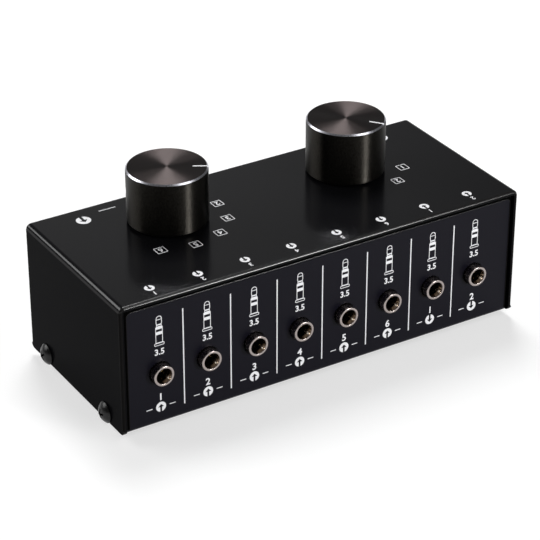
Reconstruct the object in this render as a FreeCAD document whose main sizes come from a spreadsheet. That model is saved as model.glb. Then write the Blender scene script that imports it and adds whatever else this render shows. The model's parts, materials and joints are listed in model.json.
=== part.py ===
import FreeCAD, Part
import os
import re
import Sketcher

# Audio source selector: a folded steel box with eight 3.5 mm jacks and two rotary selector switches.
# Millimetres. +X runs along the row of jacks, -Y is the jack side, +Z is up.
# The origin is at the centre of the whole object's box, on the surface that it stands on.

# Driving sizes, each set once
SIZES = {
    # how far a cut runs on beyond the surface that it opens
    "overcut": 1.0,
    # folded cover: top and both ends in one sheet
    "cover_length": 126.4,
    "cover_depth": 54.2,
    "cover_height": 38.9,
    "cover_sheet": 1.2,
    "fold_inside": 0.5,
    "cover_corner": 1.6,
    # folded chassis: floor, jack panel and rear panel in one sheet, with a tab at each end
    "chassis_sheet": 1.2,
    "chassis_fold": 1.4,
    "chassis_drop": 0.25,
    "panel_recess": 1.1,
    "panel_corner": 1.3,
    "side_gap": 0.25,
    "top_gap": 0.3,
    "tab_margin": 3.8,
    "tab_rise": 7.5,
    # rubber feet
    "foot_height": 2.0,
    "foot_width": 9.0,
    "foot_taper_angle": 12.0,
    "foot_inset": 9.0,
    # side screws
    "screw_spacing": 34.4,
    "screw_height": 2.5,
    "screw_head_radius": 3.05,
    "screw_crown_radius": 1.7,
    "screw_head_height": 1.8,
    "screw_shank_radius": 1.45,
    "screw_shank_length": 4.4,
    "thread_clearance": 0.05,
    "screw_hole_clearance": 0.25,
    # row of jacks
    "jack_pitch": 14.4,
    "jack_shift": -0.85,
    "jack_axis_height": 15.7,
    "jack_proud": 1.3,
    "barrel_radius": 3.0,
    "bore_radius": 1.8,
    "barrel_grip": 1.8,
    "panel_hole_clearance": 0.3,
    "jack_gap": 1.0,
    "body_width": 10.4,
    "body_back": 2.0,
    "body_rise": 4.2,
    "body_seat": 5.0,
    "socket_clearance": 0.02,
    "plug_play": 0.3,
    "plug_length": 14.2,
    "plug_clearance": 0.6,
    "tip_back": 1.8,
    "ring_back": 6.0,
    "spring_sheet": 0.25,
    "spring_width": 1.6,
    "spring_press": 0.3,
    "spring_lead": 0.8,
    "spring_front": 1.2,
    "spring_back": 2.8,
    "window_gap": 0.3,
    "leg_width": 0.9,
    "leg_out": 1.5,
    "leg_foot": 1.2,
    "lug_sheet": 0.3,
    "lug_width": 3.0,
    "lug_foot": 0.7,
    # boards and what holds them
    "board_sheet": 1.6,
    "board_front_gap": 0.3,
    "guide_wall": 1.0,
    "guide_grip": 2.2,
    "guide_lip": 1.5,
    "guide_gap": 3.1,
    "guide_end_gap": 2.35,
    "guide_clearance": 0.1,
    "board_end_gap": 0.2,
    "switch_board_end": 3.0,
    "switch_board_side": 1.0,
    # ribbon cable between the boards
    "ribbon_width": 25.4,
    "ribbon_sheet": 0.9,
    "ribbon_run": 4.0,
    "plug_wall": 1.3,
    "plug_depth": 5.0,
    "plug_height": 5.5,
    "ribbon_plug_place": 8.0,
    "plug_margin": 3.65,
    # knobs
    "knob_spacing": 57.6,
    "knob_inset": 18.3,
    "knob_radius": 11.3,
    "knob_height": 15.8,
    "knob_gap": 0.5,
    "knob_chamfer": 0.45,
    "nut_room": 1.07,
    "bushing_room": 1.1,
    "shaft_end_gap": 0.3,
    "pointer_start": 6.9,
    "pointer_width": 0.7,
    "pointer_depth": 0.3,
    "grub_radius": 1.45,
    "grub_height": 9.0,
    "grub_length": 3.4,
    "grub_access": 0.15,
    "grub_socket": 1.3,
    # rotary switches
    "switch_width": 25.0,
    "switch_corner": 3.0,
    "frame_sheet": 1.0,
    "frame_leg_width": 5.0,
    "frame_leg_sheet": 0.8,
    "frame_clinch": 1.2,
    "peg_width": 2.0,
    "peg_depth": 1.2,
    "peg_sink": 0.2,
    "peg_radius": 9.5,
    "bushing_wall": 1.47,
    "bushing_rise": 3.4,
    "bushing_clearance": 0.15,
    "nut_wall": 1.5,
    "nut_height": 2.2,
    "shaft_radius": 3.0,
    "shaft_fit": 0.03,
    "shaft_rise": 12.4,
    "shaft_flat": 1.0,
    "shaft_flat_length": 7.0,
    "drive_step": 0.34,
    "drive_fit": 0.02,
    "axial_gap": 0.15,
    "wheel_radius": 7.0,
    "wheel_sheet": 2.0,
    "notch_depth": 0.65,
    "notch_half": 1.1,
    "leaf_stand": 1.6,
    "leaf_sheet": 0.3,
    "leaf_grip": 1.6,
    "leaf_width": 1.8,
    "leaf_room": 0.8,
    "leaf_fit": 0.05,
    "nose_seat": 0.13,
    "nose_half": 0.15,
    "nose_root": 1.9,
    "chamber_gap": 0.3,
    "floor_sheet": 1.0,
    "floor_clearance": 0.74,
    "hub_wall": 1.0,
    "hub_clearance": 0.185,
    "rotor_sheet": 1.6,
    "tail_margin": 0.6,
    "lug_reach": 10.4,
    "lug_half": 1.8,
    "stop_clearance": 0.1,
    "wiper_room": 1.5,
    "wiper_sheet": 0.25,
    "wiper_width": 1.6,
    "wiper_gap": 0.05,
    "wiper_toe": 0.6,
    "wiper_lift": 0.25,
    "wiper_slope": 0.7,
    "contact_radius": 7.0,
    "common_width": 1.2,
    "pad_length": 2.0,
    "pad_width": 1.5,
    "pad_sheet": 0.2,
    "pin_radial": 0.5,
    "pin_width": 0.9,
    "slot_clearance": 0.1,
    "wafer_sheet": 1.5,
    "switch_board_gap": 1.2,
    # dial angles, seen from above, in degrees from +X
    "click_angle": 30.0,
    "input_first": 30.0,
    "input_rest": -30.0,
    "output_first": -30.0,
    "output_rest": -60.0,
    "output_pointer_error": 8.0,
}
CLICKS = 12
INPUT_JACKS = 6
OUTPUT_JACKS = 2
POLES = 2
STRIP_HALF_ANGLE = 84
JACKS = INPUT_JACKS + OUTPUT_JACKS

# Places that several pieces share, worked out from the sizes
COVER_FRONT = "((jack_proud - cover_depth) / 2)"
COVER_MIDDLE = "(jack_proud / 2)"
KNOB_PLACE = "(cover_depth / 2 - knob_inset)"
KNOB_Y = f"({COVER_MIDDLE} + {KNOB_PLACE})"
COVER_FOOT = "(foot_height + chassis_drop)"
COVER_TOP = f"({COVER_FOOT} + cover_height)"
UNDER_COVER = f"({COVER_TOP} - cover_sheet)"
PANEL_FACE = f"({COVER_FRONT} + panel_recess)"
FLOOR_TOP = "(foot_height + chassis_sheet)"
PANEL_HALF = "(cover_length / 2 - cover_sheet - side_gap)"
RIM = "(-panel_recess - jack_proud)"
JACK_FIRST = f"(jack_shift - jack_pitch * {(JACKS - 1) / 2})"
BODY_FRONT = "(chassis_sheet + jack_gap)"
JACK_HEIGHT = f"({COVER_FOOT} + jack_axis_height)"
BOARD_TOP = f"({JACK_HEIGHT} - body_seat)"
BOARD_BOTTOM = f"({BOARD_TOP} - board_sheet)"
BOARD_HALF = f"({PANEL_HALF} - chassis_sheet - guide_end_gap - guide_wall - board_end_gap)"
BOARD_FRONT = f"({PANEL_FACE} + chassis_sheet + board_front_gap)"
BOARD_REAR = "(ribbon_plug_place + plug_depth / 2 + plug_margin)"
PLUG_END = f"({RIM} + plug_length + plug_clearance)"
PLUG_ROOM = "(bore_radius + plug_play)"
TIP_PLACE = f"({RIM} + plug_length - tip_back)"
RING_PLACE = f"({RIM} + plug_length - ring_back)"
NOSE = "(bore_radius - spring_press)"
LEG = "(bore_radius + leg_out)"

# What turns on the shaft or holds it takes its size from the shaft
BUSHING = "(shaft_radius + shaft_fit + bushing_wall)"
NUT_FLATS = f"(2 * ({BUSHING} + nut_wall))"
DRIVE_FLATS = "((shaft_radius - drive_step) * sqrt(3))"
HUB_FLATS = f"({DRIVE_FLATS} + 2 * hub_wall)"
COMMON = f"({HUB_FLATS} / sqrt(3) + hub_clearance + common_width / 2)"
ROTOR_TAIL = "(contact_radius + wiper_toe + tail_margin)"

# Half the length of a detent leaf, which reaches past the wheel's room on both sides
LEAF_HALF = "(wheel_radius + leaf_grip)"

# Levels inside a rotary switch, downwards from the cover's underside
WHEEL_TOP = "(-frame_sheet - axial_gap)"
FLOOR_LEVEL = f"({WHEEL_TOP} - wheel_sheet - axial_gap)"
ROTOR_TOP = f"({FLOOR_LEVEL} - floor_sheet - axial_gap)"
ROTOR_BOTTOM = f"({ROTOR_TOP} - rotor_sheet)"
WAFER_TOP = f"({ROTOR_BOTTOM} - wiper_room)"
WAFER_BOTTOM = f"({WAFER_TOP} - wafer_sheet)"
SWITCH_BOARD_TOP = f"({WAFER_BOTTOM} - switch_board_gap)"

# Where the rotor's lug runs, with room beyond its corners
LUG_SIDE = "(lug_half + stop_clearance)"
LUG_ROOM = "(sqrt(lug_reach ^ 2 + lug_half ^ 2) + chamber_gap)"

doc = FreeCAD.newDocument("audio_source_selector")
nodes = []


def make_sheet():
    """The spreadsheet of driving sizes, one alias to a row."""
    sheet = doc.addObject("Spreadsheet::Sheet", "Sizes")
    for row, (alias, value) in enumerate(SIZES.items(), 1):
        sheet.set(f"A{row}", alias.replace("_", " "))
        sheet.set(f"B{row}", str(value))
        sheet.setAlias(f"B{row}", alias)
    doc.recompute()


def bound(text):
    """The expression with each size's name pointed at its cell."""
    return re.sub(r"[a-z_]+", lambda m: "Sizes." + m.group() if m.group() in SIZES else m.group(), text)


def bind(obj, **properties):
    """Binds properties to expressions; a double underscore in a name stands for a dot."""
    for name, text in properties.items():
        obj.setExpression(name.replace("__", "."), bound(text))
    return obj


def place(obj, x="0", y="0", z="0"):
    return bind(obj, Placement__Base__x=x, Placement__Base__y=y, Placement__Base__z=z)


def turn(obj, angle, axis=(0, 0, 1)):
    """Turns an object about an axis through its own origin, by an expression in degrees."""
    obj.Placement.Rotation = FreeCAD.Rotation(FreeCAD.Vector(*axis), 1.0)
    return bind(obj, Placement__Rotation__Angle=angle)


def keep(obj):
    """Marks a finished sub-part, which is written under its label."""
    nodes.append(obj)
    return obj


# Sketches

def plane(body, role):
    return next(f for f in body.Origin.OriginFeatures if f.Role == role)


def sketch(body, name, role, lift="0"):
    """A sketch on one of the body's own planes, lifted along the plane's normal."""
    made = body.newObject("Sketcher::SketchObject", name)
    made.AttachmentSupport = [(plane(body, role), "")]
    made.MapMode = "FlatFace"
    if lift != "0":
        bind(made, AttachmentOffset__Base__z=lift)
    return made


def fix(made, geometry, point, x, y):
    """Fixes a point of the sketch at the distances x and y from its origin."""
    for kind, text, axis in (("DistanceX", x, -2), ("DistanceY", y, -1)):
        if text == "0":
            made.addConstraint(Sketcher.Constraint("PointOnObject", geometry, point, axis))
            continue
        index = made.addConstraint(Sketcher.Constraint(kind, -1, 1, geometry, point, 1.0 + geometry))
        made.setExpression(f"Constraints[{index}]", bound(text))


def outline(made, points):
    """A closed run of straight lines through the points."""
    first = made.GeometryCount
    count = len(points)
    # the corners start on a circle and take their places from the constraints
    start = [
        FreeCAD.Rotation(FreeCAD.Vector(0, 0, 1), -360.0 * i / count).multVec(FreeCAD.Vector(10, 0, 0))
        for i in range(count)
    ]
    for i in range(count):
        made.addGeometry(Part.LineSegment(start[i], start[(i + 1) % count]), False)
    for i in range(count):
        made.addConstraint(Sketcher.Constraint("Coincident", first + i, 2, first + (i + 1) % count, 1))
    for i, (x, y) in enumerate(points):
        fix(made, first + i, 1, x, y)
    return made


def rectangle(made, left, low, right, high):
    return outline(made, [(left, low), (right, low), (right, high), (left, high)])


def hexagon(made, flats, x="0", y="0"):
    """A hexagon about the point x, y with two corners on the line along X through it."""
    corner = f"({flats}) / sqrt(3)"
    half = f"({flats}) / sqrt(12)"
    side = f"({flats}) / 2"
    return outline(made, [
        (f"{x} + {corner}", y), (f"{x} + {half}", f"{y} + {side}"), (f"{x} - {half}", f"{y} + {side}"),
        (f"{x} - {corner}", y), (f"{x} - {half}", f"{y} - {side}"), (f"{x} + {half}", f"{y} - {side}"),
    ])


def polar(angle, along, across="0"):
    """The point that lies along and across a ray from the origin at an angle in degrees."""
    return (
        f"({along}) * cos({angle}) - ({across}) * sin({angle})",
        f"({along}) * sin({angle}) + ({across}) * cos({angle})",
    )


def circle(made, radius, x="0", y="0"):
    geometry = made.addGeometry(
        Part.Circle(FreeCAD.Vector(0, 0, 0), FreeCAD.Vector(0, 0, 1), 1.0), False
    )
    fix(made, geometry, 3, x, y)
    index = made.addConstraint(Sketcher.Constraint("Radius", geometry, 1.0))
    made.setExpression(f"Constraints[{index}]", bound(radius))
    return made


# Features

def new_body(label):
    body = doc.addObject("PartDesign::Body", label)
    body.Label = label
    return body


def extrude(body, kind, made, length, side, flip):
    feature = body.newObject(kind, made.Name + "_" + kind.rsplit(":", 1)[1].lower())
    feature.Profile = made
    feature.SideType = side
    feature.Reversed = flip
    if length:
        bind(feature, Length=length)
    else:
        feature.Type = "ThroughAll"
    made.Visibility = False
    return feature


def pad(body, made, length, side="One side", flip=False):
    return extrude(body, "PartDesign::Pad", made, length, side, flip)


def pocket(body, made, length=None, side="One side", flip=False):
    return extrude(body, "PartDesign::Pocket", made, length, side, flip)


def revolve(body, made):
    """Turns a profile a whole round about the sketch's upright axis."""
    feature = body.newObject("PartDesign::Revolution", made.Name + "_turned")
    feature.Profile = made
    feature.ReferenceAxis = (made, ["V_Axis"])
    feature.Angle = 360.0
    return feature


def repeat(body, feature, count, pitch):
    """Copies a feature along the body's X axis."""
    pattern = body.newObject("PartDesign::LinearPattern", feature.Name + "_row")
    pattern.Originals = [feature]
    pattern.Direction = (plane(body, "X_Axis"), [""])
    bind(pattern, Length=f"({pitch}) * {count - 1}")
    pattern.Occurrences = count
    body.Tip = pattern
    return pattern


def circle_of(body, feature, count):
    """Copies a feature round the body's Z axis."""
    pattern = body.newObject("PartDesign::PolarPattern", feature.Name + "_ring")
    pattern.Originals = [feature]
    pattern.Axis = (plane(body, "Z_Axis"), [""])
    pattern.Angle = 360.0
    pattern.Occurrences = count
    body.Tip = pattern
    return pattern


def mirror(body, feature):
    """Copies a feature to the other side of the body's YZ plane."""
    made = body.newObject("PartDesign::Mirrored", feature.Name + "_mirror")
    made.Originals = [feature]
    made.MirrorPlane = (plane(body, "YZ_Plane"), [""])
    body.Tip = made
    return made


def soften(body, kind, name, size, wanted):
    """Rounds or chamfers the edges of the body's tip whose centre and direction are wanted."""
    doc.recompute()
    base = body.Tip
    names = [
        f"Edge{i}"
        for i, edge in enumerate(base.Shape.Edges, 1)
        if edge.Curve.TypeId == "Part::GeomLine"
        and wanted(edge.CenterOfMass, edge.tangentAt(edge.FirstParameter))
    ]
    feature = body.newObject(f"PartDesign::{kind}", name)
    feature.Base = (base, names)
    bind(feature, **{"Radius" if kind == "Fillet" else "Size": size})
    return feature


def link(master, x="0", y="0", z="0", angle=None, axis=(0, 0, 1)):
    made = doc.addObject("App::Link", master.Name + "_copy")
    made.LinkedObject = master
    place(made, x, y, z)
    if angle is not None:
        turn(made, angle, axis)
    return made


def group(label, members):
    """Several separate solids under one name."""
    made = doc.addObject("Part::Compound", label)
    made.Label = label
    made.Links = members
    return made


def solid(kind, name, **sizes):
    """A Part primitive with its sizes bound to the sheet."""
    return bind(doc.addObject(f"Part::{kind}", name), **sizes)


def cut(label, base, tool):
    made = doc.addObject("Part::Cut", label)
    made.Label = label
    made.Base = base
    made.Tool = tool
    return made


def fuse(label, members):
    made = doc.addObject("Part::MultiFuse", label)
    made.Label = label
    made.Shapes = members
    made.Refine = True
    return made


# Folded case

def top_cover():
    body = new_body("top_cover")
    fold = outline(sketch(body, "cover_fold_line", "XZ_Plane"), [
        ("-cover_length / 2", "0"),
        ("-cover_length / 2", "cover_height"),
        ("cover_length / 2", "cover_height"),
        ("cover_length / 2", "0"),
        ("cover_length / 2 - cover_sheet", "0"),
        ("cover_length / 2 - cover_sheet", "cover_height - cover_sheet"),
        ("cover_sheet - cover_length / 2", "cover_height - cover_sheet"),
        ("cover_sheet - cover_length / 2", "0"),
    ])
    pad(body, fold, "cover_depth", "Symmetric")
    high = SIZES["cover_height"]
    edge = SIZES["cover_depth"] / 2
    sheet = SIZES["cover_sheet"]
    soften(body, "Fillet", "outer_folds", "cover_sheet + fold_inside",
           lambda c, t: abs(t.y) > 0.9 and abs(c.z - high) < 0.01)
    soften(body, "Fillet", "inner_folds", "fold_inside",
           lambda c, t: abs(t.y) > 0.9 and abs(c.z - high + sheet) < 0.01)
    soften(body, "Fillet", "wall_corners", "cover_corner",
           lambda c, t: abs(t.x) > 0.9 and abs(c.z) < 0.01 and abs(abs(c.y) - edge) < 0.01)
    dials = sketch(body, "switch_holes", "XY_Plane")
    pegs = sketch(body, "peg_slots", "XY_Plane")
    for side in ("-", ""):
        middle = f"{side}knob_spacing / 2"
        circle(dials, f"{BUSHING} + bushing_clearance", middle, KNOB_PLACE)
        rectangle(pegs,
                  f"{middle} - peg_width / 2 - bushing_clearance",
                  f"{KNOB_PLACE} + peg_radius - peg_depth / 2 - bushing_clearance",
                  f"{middle} + peg_width / 2 + bushing_clearance",
                  f"{KNOB_PLACE} + peg_radius + peg_depth / 2 + bushing_clearance")
    pocket(body, dials, flip=True)
    pocket(body, pegs, flip=True)
    ends = sketch(body, "screw_holes", "YZ_Plane")
    for side in ("-", ""):
        circle(ends, "screw_shank_radius + screw_hole_clearance", f"{side}screw_spacing / 2", "screw_height")
    pocket(body, ends, side="Symmetric")
    return keep(place(body, "0", COVER_MIDDLE, COVER_FOOT))


def chassis():
    """Floor, jack panel and rear panel in one folded sheet, with a threaded tab at each end."""
    body = new_body("chassis")
    half = "(cover_depth / 2 - panel_recess)"
    rise = "(chassis_drop + cover_height - cover_sheet - top_gap)"
    fold = outline(sketch(body, "chassis_fold_line", "YZ_Plane"), [
        (f"-{half}", rise),
        (f"-{half}", "0"),
        (half, "0"),
        (half, rise),
        (f"{half} - chassis_sheet", rise),
        (f"{half} - chassis_sheet", "chassis_sheet"),
        (f"chassis_sheet - {half}", "chassis_sheet"),
        (f"chassis_sheet - {half}", rise),
    ])
    pad(body, fold, f"2 * {PANEL_HALF}", "Symmetric")
    sheet = SIZES["chassis_sheet"]
    soften(body, "Fillet", "floor_folds", "chassis_fold",
           lambda c, t: abs(t.x) > 0.9 and abs(c.z) < 0.01)
    soften(body, "Fillet", "panel_corners", "panel_corner",
           lambda c, t: abs(t.y) > 0.9 and c.z > 4 * sheet)
    tab = rectangle(sketch(body, "tab_outline", "YZ_Plane", f"{PANEL_HALF} - chassis_sheet"),
                    "-screw_spacing / 2 - tab_margin", "0",
                    "screw_spacing / 2 + tab_margin", "chassis_sheet + tab_rise")
    mirror(body, pad(body, tab, "chassis_sheet"))
    # six flats that the side screws cut their threads in
    for side in ("-", ""):
        pilot = hexagon(sketch(body, "screw_pilot", "YZ_Plane"),
                        "2 * (screw_shank_radius + thread_clearance)",
                        f"{side}screw_spacing / 2", "screw_height + chassis_drop")
        pocket(body, pilot, side="Symmetric")
    hole = circle(sketch(body, "jack_hole", "XZ_Plane"), "barrel_radius + panel_hole_clearance",
                  JACK_FIRST, "chassis_drop + jack_axis_height")
    repeat(body, pocket(body, hole, flip=True), JACKS, "jack_pitch")
    return keep(place(body, "0", COVER_MIDDLE, "foot_height"))


def side_screws():
    """Broad low heads with a plain shank each, two at each end of the case."""
    head = solid("Cone", "screw_head", Radius1="screw_head_radius", Radius2="screw_crown_radius",
                 Height="screw_head_height")
    shank = solid("Cylinder", "screw_shank", Radius="screw_shank_radius", Height="screw_shank_length")
    place(shank, z="-screw_shank_length")
    master = fuse("side_screw", [head, shank])
    copies = [
        link(master, f"{end}cover_length / 2", f"{COVER_MIDDLE} + {side}screw_spacing / 2",
             f"{COVER_FOOT} + screw_height", f"{end}90", (0, 1, 0))
        for end in ("-", "")
        for side in ("-", "")
    ]
    return keep(group("side_screws", copies))


def rubber_feet():
    body = new_body("foot")
    top = rectangle(sketch(body, "foot_outline", "XY_Plane", "foot_height"),
                    "-foot_width / 2", "-foot_width / 2", "foot_width / 2", "foot_width / 2")
    block = pad(body, top, "foot_height", flip=True)
    bind(block, TaperAngle="-foot_taper_angle")
    copies = [
        link(body, f"{end}(cover_length / 2 - foot_inset)",
             f"{COVER_MIDDLE} + {side}(cover_depth / 2 - foot_inset)", "0")
        for end in ("-", "")
        for side in ("-", "")
    ]
    return keep(group("rubber_feet", copies))


# Jacks. Each is built about its own origin, on its axis at the panel's outer face.

def jack_barrel(label):
    body = new_body(label)
    end = f"({BODY_FRONT} + barrel_grip)"
    tube = circle(sketch(body, "barrel_ring", "XZ_Plane", f"-{RIM}"), "barrel_radius")
    circle(tube, "bore_radius")
    pad(body, tube, f"{end} - {RIM}", flip=True)
    return body


def jack_body(label):
    """Moulded body: a socket that grips the barrel, room for the plug and a window beside each spring."""
    body = new_body(label)
    front = f"-{BODY_FRONT}"
    block = rectangle(sketch(body, "block", "XZ_Plane", front),
                      "-body_width / 2", "-body_seat", "body_width / 2", "body_rise")
    pad(body, block, f"{PLUG_END} + body_back - {BODY_FRONT}", flip=True)
    socket = hexagon(sketch(body, "socket", "XZ_Plane", front), "2 * (barrel_radius + socket_clearance)")
    pocket(body, socket, "barrel_grip")
    room = rectangle(sketch(body, "plug_way", "XZ_Plane", front),
                     f"-{PLUG_ROOM}", f"-{PLUG_ROOM}", PLUG_ROOM, PLUG_ROOM)
    pocket(body, room, f"{PLUG_END} - {BODY_FRONT}")
    for name, middle, inner, outer in (
        ("tip_window", TIP_PLACE, f"{NOSE} - spring_sheet", "body_width / 2 + overcut"),
        ("ring_window", RING_PLACE, f"spring_sheet - {NOSE}", "-body_width / 2 - overcut"),
    ):
        window = rectangle(sketch(body, name, "XY_Plane", "-body_seat"),
                           inner, f"{middle} - spring_front - window_gap",
                           outer, f"{middle} + spring_back + window_gap")
        pocket(body, window, "body_seat + spring_width / 2 + window_gap", flip=True)
    return body


def contact_spring(name, middle, side):
    """A leaf whose nose presses the plug, with a leg and a foot on the board. side is "" or "-"."""
    body = new_body(name)
    back = f"({middle} + spring_back)"
    leaf = outline(sketch(body, name + "_leaf", "XY_Plane"), [
        (f"{side}{LEG}", back),
        (f"{side}{NOSE}", middle),
        (f"{side}({NOSE} + spring_lead)", f"{middle} - spring_front"),
        (f"{side}({NOSE} + spring_lead + spring_sheet)", f"{middle} - spring_front"),
        (f"{side}({NOSE} + spring_sheet)", middle),
        (f"{side}({LEG} + spring_sheet)", back),
    ])
    pad(body, leaf, "spring_width", "Symmetric")
    leg = outline(sketch(body, name + "_leg", "XZ_Plane", f"-{back}"), [
        (f"{side}{LEG}", "-body_seat"),
        (f"{side}{LEG}", "spring_width / 2"),
        (f"{side}({LEG} + spring_sheet)", "spring_width / 2"),
        (f"{side}({LEG} + spring_sheet)", "spring_sheet - body_seat"),
        (f"{side}({LEG} + leg_foot)", "spring_sheet - body_seat"),
        (f"{side}({LEG} + leg_foot)", "-body_seat"),
    ])
    pad(body, leg, "leg_width")
    return body


def sleeve_lug(name):
    """A bent strip from the barrel's underside to the board, in front of the moulded body."""
    body = new_body(name)
    back = BODY_FRONT
    strip = outline(sketch(body, name + "_strip", "YZ_Plane"), [
        (back, "-barrel_radius"), (back, "-body_seat"),
        (f"{back} - lug_foot", "-body_seat"), (f"{back} - lug_foot", "lug_sheet - body_seat"),
        (f"{back} - lug_sheet", "lug_sheet - body_seat"), (f"{back} - lug_sheet", "-barrel_radius"),
    ])
    pad(body, strip, "lug_width", "Symmetric")
    return body


def jacks():
    for i in range(JACKS):
        kind = "input" if i < INPUT_JACKS else "output"
        name = f"{kind}_jack_{i + 1 if i < INPUT_JACKS else i + 1 - INPUT_JACKS}"
        contacts = [
            contact_spring(name + "_tip_spring", TIP_PLACE, ""),
            contact_spring(name + "_ring_spring", RING_PLACE, "-"),
            sleeve_lug(name + "_sleeve_lug"),
        ]
        for piece in (
            keep(jack_barrel(name + "_barrel")),
            keep(jack_body(name + "_body")),
            keep(group(name + "_contacts", contacts)),
        ):
            place(piece, f"{JACK_FIRST} + jack_pitch * {i}", PANEL_FACE, JACK_HEIGHT)


# Boards and what holds them

def jack_board():
    body = new_body("jack_board")
    blank = rectangle(sketch(body, "board_outline", "XY_Plane"),
                      f"-{BOARD_HALF}", BOARD_FRONT, BOARD_HALF, BOARD_REAR)
    pad(body, blank, "board_sheet")
    return keep(place(body, z=BOARD_BOTTOM))


def board_guides():
    """Grooved rails on the floor that the jack board's ends slide into, behind the jacks."""
    body = new_body("board_guide")
    rise = f"({BOARD_BOTTOM} - {FLOOR_TOP})"
    over = f"({rise} + board_sheet + guide_clearance)"
    groove = f"({BOARD_HALF} + board_end_gap)"
    section = outline(sketch(body, "guide_section", "XZ_Plane"), [
        (f"{groove} + guide_wall", "0"), (f"{groove} + guide_wall", f"{over} + guide_lip"),
        (f"{groove} - guide_grip", f"{over} + guide_lip"), (f"{groove} - guide_grip", over),
        (groove, over), (groove, rise),
        (f"{groove} - guide_grip", rise), (f"{groove} - guide_grip", "0"),
    ])
    front = f"({PANEL_FACE} + {PLUG_END} + body_back + guide_gap)"
    pad(body, section, f"{BOARD_REAR} - {front}", "Symmetric")
    copies = [link(body, "0", f"({front} + {BOARD_REAR}) / 2", FLOOR_TOP, angle) for angle in ("0", "180")]
    return keep(group("board_guides", copies))


def ribbon():
    """Flat cable from the jack board's plug, round behind it and up to the switch board's plug."""
    low = f"({BOARD_TOP} + plug_height / 2)"
    high = f"({UNDER_COVER} + {SWITCH_BOARD_TOP} - board_sheet - plug_height / 2)"
    bend = f"(({high} - {low}) / 2)"
    leave = "(ribbon_plug_place + plug_depth / 2)"
    runs = []
    for level in (low, high):
        run = solid("Box", "ribbon_straight", Length="ribbon_width", Width="ribbon_run",
                    Height="ribbon_sheet")
        runs.append(place(run, "-ribbon_width / 2", leave, f"{level} - ribbon_sheet / 2"))
    rounds = [
        solid("Cylinder", "ribbon_round", Radius=f"{bend} {sign} ribbon_sheet / 2", Height="ribbon_width",
              Angle="180")
        for sign in ("+", "-")
    ]
    turned = cut("ribbon_bend", *rounds)
    place(turned, "-ribbon_width / 2", f"{leave} + ribbon_run", f"({low} + {high}) / 2")
    turn(turned, "90", (0, 1, 0))
    keep(fuse("ribbon_cable", [*runs, turned]))
    plug = solid("Box", "ribbon_plug", Length="ribbon_width + 2 * plug_wall", Width="plug_depth",
                 Height="plug_height")
    back = "ribbon_plug_place - plug_depth / 2"
    keep(group("ribbon_plugs", [
        link(plug, "-ribbon_width / 2 - plug_wall", back, f"{level} - plug_height / 2")
        for level in (low, high)
    ]))


# Rotary switches. Each piece is built about the shaft's axis, at the cover's underside.

def switch_frame(label):
    """Bushing, mounting plate, locating peg and the two legs that clinch the switch together."""
    body = new_body(label)
    half = "switch_width / 2"
    plate = rectangle(sketch(body, "plate_outline", "XY_Plane"), f"-{half}", f"-{half}", half, half)
    pad(body, plate, "frame_sheet", flip=True)
    chamfer_corners(body)
    tube = circle(sketch(body, "bushing_outline", "XY_Plane"), BUSHING)
    pad(body, tube, "cover_sheet + bushing_rise")
    peg = rectangle(sketch(body, "peg_outline", "XY_Plane"),
                    "-peg_width / 2", "peg_radius - peg_depth / 2",
                    "peg_width / 2", "peg_radius + peg_depth / 2")
    pad(body, peg, "cover_sheet - peg_sink")
    leg = outline(sketch(body, "leg_outline", "XZ_Plane"), [
        (half, "0"),
        (f"{half} + frame_leg_sheet", "0"),
        (f"{half} + frame_leg_sheet", f"{WAFER_BOTTOM} - frame_leg_sheet"),
        (f"{half} - frame_clinch", f"{WAFER_BOTTOM} - frame_leg_sheet"),
        (f"{half} - frame_clinch", WAFER_BOTTOM),
        (half, WAFER_BOTTOM),
    ])
    mirror(body, pad(body, leg, "frame_leg_width", "Symmetric"))
    bore = circle(sketch(body, "shaft_bore", "XY_Plane"), "shaft_radius + shaft_fit")
    pocket(body, bore, side="Symmetric")
    return body


def chamfer_corners(body):
    """Cuts the four upright corners of a square switch piece."""
    half = SIZES["switch_width"] / 2
    soften(body, "Chamfer", "cut_corners", "switch_corner",
           lambda c, t: abs(t.z) > 0.9 and abs(abs(c.x) - half) < 0.01 and abs(abs(c.y) - half) < 0.01)


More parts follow.
